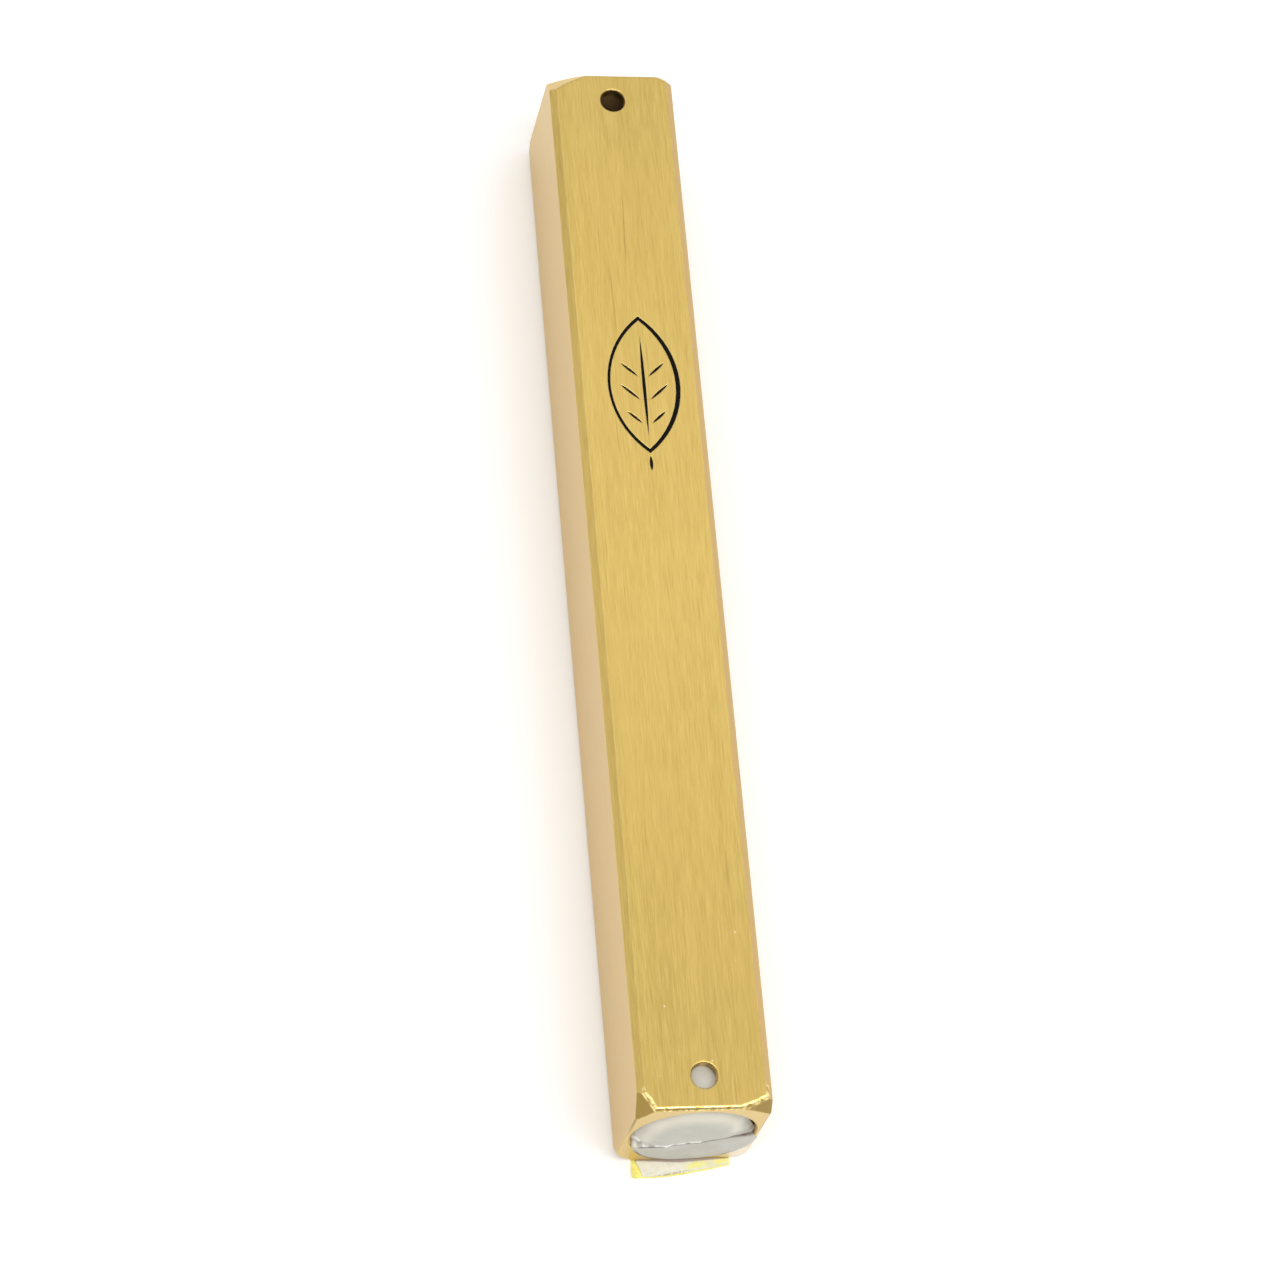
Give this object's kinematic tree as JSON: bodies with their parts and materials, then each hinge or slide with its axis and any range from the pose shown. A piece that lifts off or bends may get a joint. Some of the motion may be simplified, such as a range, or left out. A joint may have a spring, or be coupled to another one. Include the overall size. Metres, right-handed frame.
{
  "type": "mezuzah case",
  "caption": "Slim bored bar case with bevelled edges, an engraved front leaf, a screw hole near each end, a soft bottom stopper and a rolled scroll inside.",
  "frame": {"origin": "middle of the release liner's outer face, under the middle of the case's footprint", "axes": "+Z out of the engraved front face, +Y towards the top end, +X to the right as seen from the front"},
  "size_m": [0.0138, 0.1219, 0.0165],
  "materials": {
    "gold_anodised_aluminium": "brushed along the length, satin, gold anodised",
    "black_enamel": "black paint filling the engraved lines",
    "grey_silicone": "soft satin moulded silicone",
    "parchment": "matt scraped parchment",
    "clear_film": "clear glossy film",
    "white_adhesive": "milky soft adhesive",
    "yellow_liner": "waxed yellow paper"
  },
  "bodies": {
    "case": {"case_body": "gold_anodised_aluminium", "engraving_enamel": "black_enamel", "top_plug": "gold_anodised_aluminium", "adhesive_tape": "white_adhesive", "release_liner": "yellow_liner"},
    "plug": {"bottom_plug": "grey_silicone"},
    "scroll": {"parchment_scroll": "parchment", "scroll_sleeve": "clear_film"}
  },
  "joints": [
    {"name": "plug_pull", "type": "slide", "parent": "case", "child": "plug", "axis": [0, -1, 0], "range_m": [0, 0.14]},
    {"name": "scroll_slide", "type": "slide", "parent": "case", "child": "scroll", "axis": [0, -1, 0], "range_m": [0, 0.115]}
  ],
  "couplings": [
    {"joint": "scroll_slide", "follows": "plug_pull", "ratio": 0.82}
  ]
}
